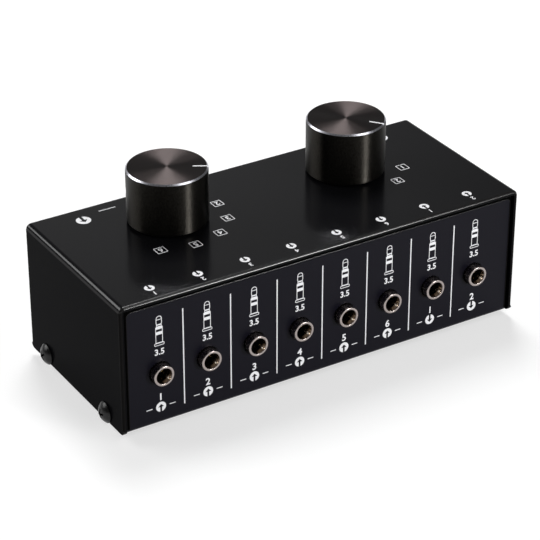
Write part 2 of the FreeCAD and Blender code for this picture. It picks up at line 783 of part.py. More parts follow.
def switch_housing(label, first, positions):
    """Room for the wheel and its leaves above; below, the rotor's room and the walls that stop its lug."""
    body = new_body(label)
    half = "switch_width / 2"
    top = "-frame_sheet"
    block = rectangle(sketch(body, "housing_outline", "XY_Plane", top), f"-{half}", f"-{half}", half, half)
    pad(body, block, f"-{WAFER_TOP} - frame_sheet", flip=True)
    chamfer_corners(body)
    wall = "(wheel_radius + leaf_stand + leaf_sheet + leaf_room)"
    side = "(wheel_radius + chamber_gap)"
    slot_in = "(wheel_radius + leaf_stand - leaf_fit)"
    slot_out = "(wheel_radius + leaf_stand + leaf_sheet + leaf_fit)"
    slot_end = f"({LEAF_HALF} + leaf_fit)"
    quarter = [(wall, side), (slot_out, side), (slot_out, slot_end), (slot_in, slot_end), (slot_in, side)]
    upper = quarter + [(f"-{x}", y) for x, y in reversed(quarter)]
    room = outline(sketch(body, "wheel_room", "XY_Plane", top),
                   upper + [(x, f"-{y}") for x, y in reversed(upper)])
    pocket(body, room, f"-{FLOOR_LEVEL} - frame_sheet")
    way = hexagon(sketch(body, "shaft_way", "XY_Plane"), "2 * (shaft_radius - drive_step + floor_clearance)")
    pocket(body, way, side="Symmetric")
    height = f"{FLOOR_LEVEL} - floor_sheet - {WAFER_TOP}"
    sides = 12
    step = 360 // sides
    tail = f"(sqrt({ROTOR_TAIL} ^ 2 + lug_half ^ 2) + chamber_gap) / cos({step // 2})"
    turning = outline(sketch(body, "rotor_room", "XY_Plane", WAFER_TOP),
                      [polar(f"{step * i + step // 2}", tail) for i in range(sides)])
    pocket(body, turning, height, flip=True)
    last = f"({first} - click_angle * {positions - 1})"
    corner = f"{LUG_ROOM} / cos(click_angle / 2)"
    sweep = outline(sketch(body, "lug_way", "XY_Plane", WAFER_TOP), [
        polar(last, "0", f"-{LUG_SIDE}"),
        polar(last, corner, f"-{LUG_SIDE}"),
        *(polar(f"({last} + click_angle * {i})", corner) for i in range(positions)),
        polar(first, corner, LUG_SIDE),
        polar(first, "0", LUG_SIDE),
    ])
    pocket(body, sweep, height, flip=True)
    return body


def detent_wheel(label):
    body = new_body(label)
    disc = circle(sketch(body, "wheel_disc", "XY_Plane", WHEEL_TOP), "wheel_radius")
    hexagon(disc, f"{DRIVE_FLATS} + 2 * drive_fit")
    pad(body, disc, "wheel_sheet", flip=True)
    notch = outline(sketch(body, "wheel_notch", "XY_Plane", WHEEL_TOP), [
        ("wheel_radius - notch_depth", "0"),
        ("wheel_radius + notch_depth", "-2 * notch_half"),
        ("wheel_radius + notch_depth", "2 * notch_half"),
    ])
    circle_of(body, pocket(body, notch, "wheel_sheet"), CLICKS)
    return body


def detent_springs(label):
    """Two leaves, one each side, whose noses seat in the wheel's notches."""
    body = new_body(label + "_leaf")
    near = "(wheel_radius + leaf_stand)"
    far = "(wheel_radius + leaf_stand + leaf_sheet)"
    nose = "(wheel_radius - notch_depth + nose_seat)"
    middle = f"{WHEEL_TOP} - wheel_sheet / 2"
    leaf = outline(sketch(body, "leaf_outline", "XY_Plane", middle), [
        (near, "-" + LEAF_HALF), (near, "-nose_root"), (nose, "-nose_half"),
        (nose, "nose_half"), (near, "nose_root"), (near, LEAF_HALF),
        (far, LEAF_HALF), (far, "nose_root - leaf_sheet / 2"),
        (f"{nose} + leaf_sheet", "0"),
        (far, "leaf_sheet / 2 - nose_root"), (far, "-" + LEAF_HALF),
    ])
    pad(body, leaf, "leaf_width", "Symmetric")
    return group(label, [link(body), link(body, angle="180")])


def rotor(label):
    """A bar on a hub with the shaft's hexagon through it; its longer end is the stop lug."""
    bar = solid("Box", label + "_bar", Length=f"{ROTOR_TAIL} + lug_reach", Width="2 * lug_half",
                Height="rotor_sheet")
    hub = solid("Prism", label + "_hub", Circumradius=f"{HUB_FLATS} / sqrt(3)",
                Height="rotor_sheet + wiper_room - axial_gap")
    hole = solid("Prism", label + "_hexagon", Circumradius=f"({DRIVE_FLATS} + 2 * drive_fit) / sqrt(3)",
                 Height="rotor_sheet + wiper_room")
    place(bar, f"-{ROTOR_TAIL}", "-lug_half", ROTOR_BOTTOM)
    place(hub, z=f"{WAFER_TOP} + axial_gap")
    place(hole, z=WAFER_TOP)
    return cut(label, fuse(label + "_blank", [bar, hub]), hole)


def wipers(label):
    """Two bridges under the rotor, from the common strips to the pads."""
    body = new_body(label + "_bridge")
    foot = f"({WAFER_TOP} + pad_sheet + wiper_gap)"
    toe = f"({foot} + wiper_lift)"
    under = f"({ROTOR_BOTTOM} - wiper_sheet)"
    inside = [
        (f"{COMMON} - wiper_toe", toe), (COMMON, foot),
        (f"{COMMON} + wiper_slope", under), ("contact_radius - wiper_slope", under),
        ("contact_radius", foot), ("contact_radius + wiper_toe", toe),
    ]
    above = [(x, f"{z} + wiper_sheet") for x, z in reversed(inside)]
    bridge = outline(sketch(body, "bridge_outline", "XZ_Plane"), inside + above)
    pad(body, bridge, "wiper_width", "Symmetric")
    return group(label, [link(body), link(body, angle="180")])


def pin(name, radius, margin="0"):
    """An upright pin down to the switch board at a radius on the X axis, or with a margin its slot."""
    box = solid("Box", name, Length=f"pin_radial + 2 * {margin}", Width=f"pin_width + 2 * {margin}",
                Height=f"{WAFER_TOP} - {SWITCH_BOARD_TOP}")
    return place(box, f"{radius} - pin_radial / 2 - {margin}", f"-pin_width / 2 - {margin}", SWITCH_BOARD_TOP)


def contact_masters():
    """One pad and one common strip, each with its pin; the slots that their pins go through."""
    face = solid("Box", "pad_face", Length="pad_length", Width="pad_width", Height="pad_sheet")
    place(face, "contact_radius - pad_length / 2", "-pad_width / 2", WAFER_TOP)
    contact = fuse("pad_contact", [face, pin("pad_pin", "contact_radius")])
    body = new_body("common_strip")
    ends = 7
    angles = [STRIP_HALF_ANGLE * (2 * i / ends - 1) for i in range(ends + 1)]
    inner = [polar(f"{angle}", f"{COMMON} - common_width / 2") for angle in angles]
    outer = [polar(f"{angle}", f"{COMMON} + common_width / 2") for angle in reversed(angles)]
    strip = outline(sketch(body, "strip_outline", "XY_Plane", WAFER_TOP), inner + outer)
    pad(body, strip, "pad_sheet")
    common = fuse("common_contact", [body, pin("common_pin", COMMON)])
    slots = [
        group(name, [pin(name + "_pin", radius, "slot_clearance")])
        for name, radius in (("pad_slot", "contact_radius"), ("common_slot", COMMON))
    ]
    return (contact, common), slots


def spread(first, positions, pad_piece, common_piece):
    """A copy of the pad for each position of each pole, and a common strip for each pole."""
    copies = []
    for pole in range(POLES):
        turned = f"{first} + {360 // POLES * pole}"
        copies += [link(pad_piece, angle=f"{turned} - click_angle * {i}") for i in range(positions)]
        copies.append(link(common_piece, angle=f"{turned} - click_angle * {(positions - 1) / 2}"))
    return copies


def wafer(label, first, positions, slots):
    body = new_body(label + "_blank")
    half = "switch_width / 2"
    blank = rectangle(sketch(body, "wafer_outline", "XY_Plane", WAFER_TOP),
                      f"-{half}", f"-{half}", half, half)
    pad(body, blank, "wafer_sheet", flip=True)
    chamfer_corners(body)
    return cut(label, body, group(label + "_slots", spread(first, positions, *slots)))


def shaft(label, pointer_error):
    """A turned shaft with a flat for the knob's screw and a milled hexagon for the wheel and rotor."""
    body = new_body(label)
    top = "(cover_sheet + shaft_rise)"
    turned = circle(sketch(body, "shaft_section", "XY_Plane", WHEEL_TOP), "shaft_radius")
    pad(body, turned, f"{top} - {WHEEL_TOP}")
    drive = hexagon(sketch(body, "drive_hexagon", "XY_Plane", WHEEL_TOP), DRIVE_FLATS)
    pad(body, drive, f"{WHEEL_TOP} - {WAFER_TOP} - axial_gap", flip=True)
    flat = sketch(body, "knob_flat", "XY_Plane", top)
    flat.AttachmentOffset.Rotation = FreeCAD.Rotation(FreeCAD.Vector(0, 0, 1), 1.0)
    bind(flat, AttachmentOffset__Rotation__Angle=pointer_error)
    rectangle(flat, "-shaft_radius - overcut", "-shaft_radius - overcut",
              "shaft_flat - shaft_radius", "shaft_radius + overcut")
    pocket(body, flat, "shaft_flat_length")
    return body


def knob(label):
    """Turned knob, hollow below for the nut, bored for the shaft, with a groove for the pointer."""
    body = new_body(label)
    bore = "(shaft_radius + drive_fit)"
    bore_top = "(shaft_rise - knob_gap + shaft_end_gap)"
    hollow = f"({NUT_FLATS} / sqrt(3) + nut_room)"
    hollow_top = "(bushing_rise - knob_gap + bushing_room)"
    turned = outline(sketch(body, "knob_profile", "XZ_Plane"), [
        (bore, hollow_top), (hollow, hollow_top), (hollow, "0"), ("knob_radius", "0"),
        ("knob_radius", "knob_height - knob_chamfer"), ("knob_radius - knob_chamfer", "knob_height"),
        ("0", "knob_height"), ("0", bore_top), (bore, bore_top),
    ])
    revolve(body, turned)
    access = circle(sketch(body, "grub_hole", "YZ_Plane"), "grub_radius + grub_access", "0", "grub_height")
    pocket(body, access)
    line = rectangle(sketch(body, "pointer_groove", "XY_Plane", "knob_height"),
                     "pointer_start", "-pointer_width / 2", "knob_radius + overcut", "pointer_width / 2")
    pocket(body, line, "pointer_depth")
    return body


def grub_screw(label):
    """Headless screw whose end rests on the shaft's flat, opposite the pointer."""
    blank = solid("Cylinder", label + "_blank", Radius="grub_radius", Height="grub_length")
    socket = solid("Prism", label + "_socket", Circumradius="grub_socket / sqrt(3)", Height="grub_length")
    place(socket, z="grub_length / 2")
    upright = cut(label + "_upright", blank, socket)
    return group(label, [link(upright, "shaft_flat - shaft_radius", "0", "grub_height", "-90", (0, 1, 0))])


def rotary_switch(kind, side, positions, pads, slots):
    """A whole switch with its knob; side is the sign of its place along X."""
    x = f"{side}knob_spacing / 2"
    first = f"{kind}_first"
    rest = f"{kind}_rest"
    pointer_error = "output_pointer_error" if kind == "output" else "0"
    fixed = [
        switch_frame(f"{kind}_switch_frame"),
        switch_housing(f"{kind}_switch_housing", first, positions),
        detent_springs(f"{kind}_detent_springs"),
        wafer(f"{kind}_switch_wafer", first, positions, slots),
        group(f"{kind}_switch_contacts", spread(first, positions, *pads)),
    ]
    turning = [
        shaft(f"{kind}_shaft", pointer_error),
        detent_wheel(f"{kind}_detent_wheel"),
        rotor(f"{kind}_rotor"),
        wipers(f"{kind}_wipers"),
    ]
    for piece in fixed + turning:
        keep(place(piece, x, KNOB_Y, UNDER_COVER))
    for piece in turning:
        turn(piece, rest)
    for piece in (knob(f"{kind}_knob"), grub_screw(f"{kind}_knob_grub_screw")):
        keep(place(piece, x, KNOB_Y, f"{COVER_TOP} + knob_gap"))
        turn(piece, f"{rest} + {pointer_error}")


def bushing_nuts():
    """The nuts that hold the switches on the cover, inside the knobs' cavities."""
    nut = cut("bushing_nut",
              solid("Prism", "nut_blank", Circumradius=f"{NUT_FLATS} / sqrt(3)", Height="nut_height"),
              solid("Cylinder", "nut_hole", Radius=f"{BUSHING} + thread_clearance", Height="nut_height"))
    copies = [link(nut, f"{side}knob_spacing / 2", KNOB_Y, COVER_TOP) for side in ("-", "")]
    return keep(group("bushing_nuts", copies))


def switch_board():
    body = new_body("switch_board")
    half = "(knob_spacing / 2 + switch_width / 2 + switch_board_end)"
    side = "(switch_width / 2 + switch_board_side)"
    blank = rectangle(sketch(body, "switch_board_outline", "XY_Plane"), f"-{half}", f"-{side}", half, side)
    pad(body, blank, "board_sheet", flip=True)
    return keep(place(body, "0", KNOB_Y, f"{UNDER_COVER} + {SWITCH_BOARD_TOP}"))


def build():
    make_sheet()
    top_cover()
    chassis()
    side_screws()
    rubber_feet()
    jacks()
    jack_board()
    board_guides()
    ribbon()
    pads, slots = contact_masters()
    rotary_switch("input", "-", INPUT_JACKS, pads, slots)
    rotary_switch("output", "", OUTPUT_JACKS, pads, slots)
    bushing_nuts()
    switch_board()
    doc.recompute()


def check():
    """Stops with a message if any object failed or a cut took nothing away."""
    for obj in doc.Objects:
        if "Invalid" in obj.State or "Error" in obj.State:
            raise RuntimeError(f"{obj.Label} failed: {obj.State}")
        if obj.TypeId == "PartDesign::Pocket":
            if obj.Shape.Volume > obj.BaseFeature.Shape.Volume - 0.001:
                raise RuntimeError(f"{obj.Label} cuts nothing")
    for node in nodes:
        if node.Shape.isNull() or not node.Shape.isValid():
            raise RuntimeError(f"{node.Label} has no valid shape")


def write():
    os.makedirs("parts", exist_ok=True)
    for node in nodes:
        node.Shape.exportStep(f"parts/{node.Label}.step")
        print(f"{node.Label}: {len(node.Shape.Solids)} solid(s), {node.Shape.Volume:.1f} mm3")


build()
check()
write()
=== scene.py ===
import json
import math

import bmesh
import bpy
from mathutils import Matrix, Vector

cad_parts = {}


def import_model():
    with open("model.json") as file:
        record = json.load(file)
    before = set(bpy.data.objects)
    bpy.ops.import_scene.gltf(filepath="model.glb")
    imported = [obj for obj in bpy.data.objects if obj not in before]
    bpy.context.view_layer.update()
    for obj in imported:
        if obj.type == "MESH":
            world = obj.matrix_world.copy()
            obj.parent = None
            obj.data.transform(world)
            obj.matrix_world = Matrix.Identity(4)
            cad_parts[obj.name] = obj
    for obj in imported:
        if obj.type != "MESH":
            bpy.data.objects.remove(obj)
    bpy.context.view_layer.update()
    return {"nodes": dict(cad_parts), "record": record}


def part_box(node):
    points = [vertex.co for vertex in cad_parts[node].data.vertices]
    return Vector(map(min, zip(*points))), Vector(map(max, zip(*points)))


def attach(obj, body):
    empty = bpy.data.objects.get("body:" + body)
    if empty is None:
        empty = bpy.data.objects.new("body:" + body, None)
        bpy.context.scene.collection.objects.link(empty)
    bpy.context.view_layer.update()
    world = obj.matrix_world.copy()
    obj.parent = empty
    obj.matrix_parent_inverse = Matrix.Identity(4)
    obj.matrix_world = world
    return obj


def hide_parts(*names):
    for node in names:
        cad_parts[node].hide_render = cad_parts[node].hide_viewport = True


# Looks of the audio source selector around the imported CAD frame.
# +X runs along the row of jacks, -Y is the jack side, +Z is up.
# The scene is in metres. Sizes and places on the object are written in mm, and MM turns them into metres.

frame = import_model()
MM = 0.001


# Places on the object in mm, and the pointers' turns in degrees

PANEL_Y = -25.35
COVER_Z = 41.15
COVER_FOLD = 1.7
KNOB_X = 28.8
KNOB_Y = 9.45
POINTER_TURNS = {"input": -30, "output": -52}
INPUTS = 6
OUTPUTS = 2
JACK_PITCH = 14.4
FIRST_INPUT_X = -51.25
FIRST_OUTPUT_X = FIRST_INPUT_X + JACK_PITCH * INPUTS
JACK_Z = 17.95
# Kind, number and x of each jack, from the left
JACKS = [("input_jack", i + 1, FIRST_INPUT_X + JACK_PITCH * i) for i in range(INPUTS)]
JACKS += [("output_jack", i + 1, FIRST_OUTPUT_X + JACK_PITCH * i) for i in range(OUTPUTS)]
SCREW_X = 63.2
SCREW_FRONT_Y = -16.55
SCREW_REAR_Y = 17.85
SCREW_Z = 4.75


# Camera, light and floor

LENS = 151.4
CLIP_START = 0.05
CAMERA_PLACE = (-0.29016, -0.47057, 0.33411)
CAMERA_AIM = (0.45455, 0.74225, -0.49239)

LAMP_TARGET = Vector((0.0, 0.0, 0.03))
LAMP_DISTANCE = 0.9
# Bearing from +X and height above the floor in degrees, size in metres, power in watts
LAMPS = {
    "overhead_box": (66, 63, (0.3, 0.4), 6.0),
    "low_box": (-64, 7, (0.17, 0.2), 6.3),
    "front_box": (-62, 52, (0.5, 0.22), 1.3),
    "left_box": (137, 30, (0.6, 0.36), 3.3),
}

# The world's light. DIM, GLOW and WINDOW are strengths, and the bearing is in degrees. Each pair says where
# a patch begins and ends to fade, as the upward or sideways part of a unit ray.
DIM = 0.07
GLOW = 0.7
GLOW_TOP = (0.05, 0.09)
WINDOW = 0.34
WINDOW_BEARING = 70
WINDOW_TOP = (0.47, 0.56)
WINDOW_LEFT = (0.0, 0.09)
WINDOW_RIGHT = (0.08, 0.42)

FLOOR_HALF = 4.0
FLOOR_LIT = 0.5
FLOOR_SHOWN = 0.45
FLOOR_LIFT = 0.6


def new_object(name, data):
    """A new object in the scene."""
    made = bpy.data.objects.new(name, data)
    bpy.context.scene.collection.objects.link(made)
    return made


def look_along(made, way):
    """Turns a camera or lamp to look along a vector."""
    made.rotation_euler = Vector(way).to_track_quat("-Z", "Y").to_euler()


def add_node(tree, kind, inputs, **settings):
    """A shader node with its settings; each input is linked to a socket or set to a value."""
    made = tree.nodes.new("ShaderNode" + kind)
    for name, value in settings.items():
        setattr(made, name, value)
    for key, value in inputs.items():
        if isinstance(value, bpy.types.NodeSocket):
            tree.links.new(value, made.inputs[key])
        else:
            made.inputs[key].default_value = value
    return made


def camera():
    """A long lens above the left end of the jack side, at the photograph's angle."""
    data = bpy.data.cameras.new("camera")
    data.lens = LENS
    data.clip_start = CLIP_START
    made = new_object("camera", data)
    made.location = CAMERA_PLACE
    look_along(made, CAMERA_AIM)
    bpy.context.scene.camera = made


def lamps():
    """Soft boxes for the edges, the spun tops and the print."""
    for name, (bearing, height, size, power) in LAMPS.items():
        data = bpy.data.lights.new(name, "AREA")
        data.shape = "RECTANGLE"
        data.size, data.size_y = size
        data.energy = power
        a, e = math.radians(bearing), math.radians(height)
        away = Vector((math.cos(a) * math.cos(e), math.sin(a) * math.cos(e), math.sin(e)))
        made = new_object(name, data)
        made.location = LAMP_TARGET + away * LAMP_DISTANCE
        look_along(made, -away)


def world():
    """A dim surrounding with a glow near the horizon and one pale window towards the back."""
    made = bpy.data.worlds.new("world")
    bpy.context.scene.world = made
    made.use_nodes = True
    tree = made.node_tree
    tree.nodes.clear()
    ray = add_node(tree, "TexCoord", {}).outputs["Generated"]
    height = add_node(tree, "SeparateXYZ", {0: ray}).outputs["Z"]

    def compute(operation, first, second):
        """The result of an operation on two values."""
        return add_node(tree, "Math", {0: first, 1: second}, operation=operation).outputs[0]

    def fade(value, edges, strength):
        """The strength below the first edge, nothing above the second."""
        start, end = edges
        inputs = {"Value": value, "From Min": start, "From Max": end, "To Min": strength, "To Max": 0.0}
        return add_node(tree, "MapRange", inputs, interpolation_type="SMOOTHSTEP").outputs[0]

    def along(bearing):
        """The part of the ray that points along a bearing."""
        way = (math.cos(math.radians(bearing)), math.sin(math.radians(bearing)), 0)
        return add_node(tree, "VectorMath", {0: ray, 1: way}, operation="DOT_PRODUCT").outputs["Value"]

    ahead = compute("GREATER_THAN", along(WINDOW_BEARING), 0.0)
    sides = compute("MULTIPLY", fade(along(WINDOW_BEARING + 90), WINDOW_LEFT, 1.0),
                    fade(along(WINDOW_BEARING - 90), WINDOW_RIGHT, 1.0))
    window = compute("MULTIPLY", fade(height, WINDOW_TOP, WINDOW), sides)
    level = compute("MAXIMUM", compute("MULTIPLY", window, ahead), fade(height, GLOW_TOP, GLOW))
    inputs = {"Color": (1, 1, 1, 1), "Strength": compute("MAXIMUM", level, DIM)}
    light = add_node(tree, "Background", inputs)
    add_node(tree, "OutputWorld", {"Surface": light.outputs[0]})


def floor():
    """A plain floor with the object's shadow, nearly white to camera, glossy and transmission rays."""
    half = FLOOR_HALF
    corners = [(-half, -half, 0), (half, -half, 0), (half, half, 0), (-half, half, 0)]
    mesh = bpy.data.meshes.new("floor")
    mesh.from_pydata(corners, [], [(0, 1, 2, 3)])
    made = new_object("floor", mesh)
    material = bpy.data.materials.new("floor")
    material.use_nodes = True
    tree = material.node_tree
    tree.nodes.clear()
    path = add_node(tree, "LightPath", {})
    shown = path.outputs["Is Camera Ray"]
    for ray in ("Is Glossy Ray", "Is Transmission Ray"):
        shown = add_node(tree, "Math", {0: shown, 1: path.outputs[ray]}, operation="MAXIMUM").outputs[0]
    lit = add_node(tree, "BsdfDiffuse", {"Color": (FLOOR_LIT, FLOOR_LIT, FLOOR_LIT, 1)})
    pale = add_node(tree, "BsdfDiffuse", {"Color": (FLOOR_SHOWN, FLOOR_SHOWN, FLOOR_SHOWN, 1)})
    lift = add_node(tree, "Emission", {"Strength": FLOOR_LIFT})
    seen = add_node(tree, "AddShader", {0: pale.outputs[0], 1: lift.outputs[0]})
    mix = add_node(tree, "MixShader", {0: shown, 1: lit.outputs[0], 2: seen.outputs[0]})
    add_node(tree, "OutputMaterial", {"Surface": mix.outputs[0]})
    mesh.materials.append(material)


# Materials

def pattern_node(tree, pattern, grain, place):
    """The fine pattern of a finish: turned rings, straight bands or plain noise."""
    inputs = {"Vector": place, "Scale": grain}
    if pattern == "rings":
        inputs.update({"Distortion": 1.5, "Detail": 2.0})
        return add_node(tree, "TexWave", inputs, wave_type="RINGS", rings_direction="Z")
    if pattern == "bands":
        inputs.update({"Distortion": 0.2})
        return add_node(tree, "TexWave", inputs, wave_type="BANDS", bands_direction="X")
    inputs.update({"Detail": 4.0})
    return add_node(tree, "TexNoise", inputs)


def finish(name, colour, roughness, metallic=0.0, specular=0.5, grain=900.0, shade=0.12, wear=0.06,
           bump=0.00002, anisotropic=0.0, coat=0.0, pattern="noise", stretch=(1, 1, 1), upright=None):
    """A procedural finish: colour, roughness and relief all vary with one fine pattern.

    shade and wear say how far the colour and the roughness vary, and bump is the relief in metres.
    upright gives the specular level of upright faces, and the slopes between which it becomes specular; the
    lower level on upright faces is painted shade that dims their reflections.
    """
    material = bpy.data.materials.new(name)
    material.use_nodes = True
    tree = material.node_tree
    shader = tree.nodes["Principled BSDF"]
    shader.inputs["Metallic"].default_value = metallic
    shader.inputs["Specular IOR Level"].default_value = specular
    shader.inputs["Anisotropic"].default_value = anisotropic
    shader.inputs["Coat Weight"].default_value = coat
    place = add_node(tree, "TexCoord", {}).outputs["Object"]
    scaled = add_node(tree, "Mapping", {"Vector": place, "Scale": stretch}).outputs[0]
    value = pattern_node(tree, pattern, grain, scaled).outputs["Fac"]

    dark = (*[c * (1 - shade) for c in colour], 1)
    light = (*[min(1.0, c * (1 + shade)) for c in colour], 1)
    tone = add_node(tree, "Mix", {"Factor": value, 6: dark, 7: light}, data_type="RGBA")
    tree.links.new(tone.outputs[2], shader.inputs["Base Color"])
    smoothest, roughest = max(0.02, roughness - wear), min(1.0, roughness + wear)
    gloss = add_node(tree, "MapRange", {"Value": value, "To Min": smoothest, "To Max": roughest})
    tree.links.new(gloss.outputs[0], shader.inputs["Roughness"])
    relief = add_node(tree, "Bump", {"Height": value, "Distance": bump, "Strength": 1.0})
    tree.links.new(relief.outputs[0], shader.inputs["Normal"])

    # Painted shade: the specular level falls on upright faces, so they reflect less than flat ones.
    if upright:
        lowest, start, end = upright
        facing = add_node(tree, "NewGeometry", {}).outputs["Normal"]
        rise = add_node(tree, "SeparateXYZ", {0: facing}).outputs["Z"]
        slope = add_node(tree, "Math", {0: rise}, operation="ABSOLUTE").outputs[0]
        inputs = {"Value": slope, "From Min": start, "From Max": end, "To Min": lowest, "To Max": specular}
        level = add_node(tree, "MapRange", inputs)
        tree.links.new(level.outputs[0], shader.inputs["Specular IOR Level"])
    if anisotropic:
        quarter_turn = 0.25
        shader.inputs["Anisotropic Rotation"].default_value = quarter_turn
        tangent = add_node(tree, "Tangent", {}, direction_type="RADIAL", axis="Z")
        tree.links.new(tangent.outputs[0], shader.inputs["Tangent"])
    return material


COAT = dict(grain=3600.0, shade=0.1, bump=0.000006)
# Each record slot's colour, roughness and the rest of its finish
SLOTS = {
    # The cover's coat has painted shade on its upright ends: their specular level is far below the top's.
    "cover_coating": ((0.0042, 0.0042, 0.005), 0.16,
                      dict(specular=0.34, wear=0.03, upright=(0.0045, 0.0, 1.0), **COAT)),
    "chassis_coating": ((0.0032, 0.0029, 0.0063), 0.34, dict(specular=0.09, wear=0.04, **COAT)),
    "black_screws": ((0.008, 0.0078, 0.0082), 0.3, dict(metallic=0.2, specular=0.4, grain=2500.0)),
    "foot_rubber": ((0.018, 0.018, 0.018), 0.8, dict(grain=1800.0, bump=0.00004)),
    "board": ((0.014, 0.1, 0.035), 0.35, dict(grain=300.0, shade=0.3, coat=0.3)),
    "guide_plastic": ((0.68, 0.66, 0.6), 0.5, dict(grain=700.0, shade=0.05)),
    "ribbon_sheath": ((0.34, 0.34, 0.35), 0.55,
                      dict(grain=247.0, shade=0.25, bump=0.0002, pattern="bands")),
    "plug_plastic": ((0.018, 0.018, 0.019), 0.45, {}),
    "plated_steel": ((0.56, 0.55, 0.52), 0.3, dict(metallic=1.0, grain=1200.0)),
    "jack_nickel": ((0.36, 0.315, 0.3), 0.26, dict(metallic=1.0, grain=2400.0, shade=0.06, bump=0.000004)),
    "jack_plastic": ((0.016, 0.016, 0.017), 0.5, {}),
    "contact_metal": ((0.7, 0.55, 0.3), 0.25, dict(metallic=1.0, grain=1500.0)),
    "switch_zinc": ((0.5, 0.5, 0.49), 0.42, dict(metallic=1.0, grain=1100.0)),
    "switch_plastic": ((0.03, 0.035, 0.05), 0.5, {}),
    "wafer_laminate": ((0.2, 0.09, 0.035), 0.5, dict(grain=420.0, shade=0.25, stretch=(1, 1, 8))),
    "spring_steel": ((0.55, 0.55, 0.56), 0.22, dict(metallic=1.0, grain=1500.0)),
    "shaft_brass": ((0.62, 0.55, 0.4), 0.25, dict(metallic=1.0, grain=1500.0)),
    "rotor_plastic": ((0.66, 0.64, 0.56), 0.45, dict(grain=700.0, shade=0.05)),
    "knob_anodised": ((0.03, 0.029, 0.027), 0.3, dict(metallic=1.0, grain=1500.0)),
}
FINISHES = {
    slot: finish(slot, colour, roughness, **rest)
    for slot, (colour, roughness, rest) in SLOTS.items()
}
INK = finish("white_ink", (0.8, 0.8, 0.82), 0.5, specular=0.3, grain=2600.0, shade=0.05, bump=0.000004)
# Painted highlight and shade: rounded sheet edges get a coat a little lighter than the cover's so a light
# line shows, and their upright faces reflect less so upright edges stay dark.
SHEET_EDGE_PAINTED_LIGHT = finish("sheet_edge_painted_light", (0.008, 0.0075, 0.0075), 0.2, specular=0.34, wear=0.03,
                    upright=(0.02, 0.12, 0.3), **COAT)
# Painted shade: a near-black matte colour for the strip that stands in for the shaded gap around the panel.
GAP_PAINTED_SHADE = finish("gap_painted_shade", (0.0015, 0.0015, 0.0015), 0.8, specular=0.0)
# Painted shade: the bore and mouth of each barrel are a darker copy of the nickel, for the shade inside the
# recess.
BORE_PAINTED_SHADE = finish("jack_bore_painted_shade", (0.28, 0.235, 0.19), 0.14, metallic=1.0, grain=2400.0, shade=0.15, wear=0.03,
              bump=0.000004)
SPRING = finish("spring_nose", (0.8, 0.72, 0.63), 0.24, metallic=1.0, grain=2400.0, shade=0.08, wear=0.03,
                bump=0.000004)
KNOB_SIDE = finish("knob_side", (0.023, 0.0213, 0.0186), 0.43, metallic=1.0, grain=2600.0, shade=0.8,
                   wear=0.1, anisotropic=1.0, stretch=(1, 1, 0.5))
KNOB_TOP = finish("knob_top", (0.055, 0.0455, 0.0445), 0.39, metallic=1.0, grain=1900.0, wear=0.03,
                  bump=0.000001, anisotropic=0.92, pattern="rings")
KNOB_EDGE = finish("knob_edge", (0.62, 0.62, 0.67), 0.28, metallic=1.0, grain=2600.0, shade=0.04, wear=0.03,
                   bump=0.000001)


# Pieces in mesh code

def piece(name, mesh, body, at=(0, 0, 0)):
    """A visible piece that rides on a body."""
    made = new_object(name, mesh)
    made.location = at
    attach(made, body)
    return made


def paint(mesh, *materials):
    """The mesh with these materials."""
    for material in materials:
        mesh.materials.append(material)
    return mesh


def smooth(mesh, angle):
    """Smooth shading, but for edges sharper than the angle in degrees."""
    mesh.polygons.foreach_set("use_smooth", [True] * len(mesh.polygons))
    mesh.set_sharp_from_angle(angle=math.radians(angle))


def turned(degrees, axis):
    """The matrix of a turn in degrees about an axis."""
    return Matrix.Rotation(math.radians(degrees), 4, axis)


def to_mesh(made, name):
    """The mesh of a bmesh that is done."""
    mesh = bpy.data.meshes.new(name)
    made.to_mesh(mesh)
    made.free()
    return mesh


def evaluated(made):
    """The mesh that an object has after its modifiers, or once its curve or text is filled."""
    bpy.context.view_layer.update()
    return bpy.data.meshes.new_from_object(made.evaluated_get(bpy.context.evaluated_depsgraph_get()))


def arc(centre, radius, first, last, steps):
    """Points on an arc in the plane of a profile, angles in degrees."""
    return [
        (centre[0] + radius * math.cos(math.radians(first + (last - first) * i / steps)),
         centre[1] + radius * math.sin(math.radians(first + (last - first) * i / steps)))
        for i in range(steps + 1)
    ]


def lathe(name, profile, segments, zones=()):
    """Turns a closed profile of (radius, height) in mm about Z; zones gives each run's material."""
    made = bmesh.new()
    turns = [2 * math.pi * i / segments for i in range(segments)]
    on_axis = 1e-6
    rings = []
    for radius, height in profile:
        if radius < on_axis:
            rings.append([made.verts.new((0, 0, height * MM))] * segments)
        else:
            rings.append([
                made.verts.new((radius * MM * math.cos(turn), radius * MM * math.sin(turn), height * MM))
                for turn in turns
            ])
    for r, low in enumerate(rings):
        high = rings[(r + 1) % len(rings)]
        if low[0] is low[1] and high[0] is high[1]:
            continue
        for i in range(segments):
            corners = [low[i], low[(i + 1) % segments], high[(i + 1) % segments], high[i]]
            face = made.faces.new([v for k, v in enumerate(corners) if v is not corners[k - 1]])
            face.material_index = zones[r] if zones else 0
    bmesh.ops.recalc_face_normals(made, faces=made.faces)
    return to_mesh(made, name)


def block(name, low, high):
    """A plain box in mm, for a slot or for the paint in one."""
    made = bmesh.new()
    bmesh.ops.create_cube(made, size=1.0)
    for v in made.verts:
        v.co = [((a + b) / 2 + c * (b - a)) * MM for a, b, c in zip(low, high, v.co)]
    return to_mesh(made, name)


def rod(name, radius, start, end, height):
    """A plain cylinder along X in mm, used to bore holes."""
    made = bmesh.new()
    bmesh.ops.create_cone(made, cap_ends=True, segments=40, radius1=radius * MM, radius2=radius * MM,
                          depth=abs(end - start) * MM)
    made.transform(Matrix.Translation(((start + end) / 2 * MM, 0, height * MM)) @ turned(90, "Y"))
    return to_mesh(made, name)


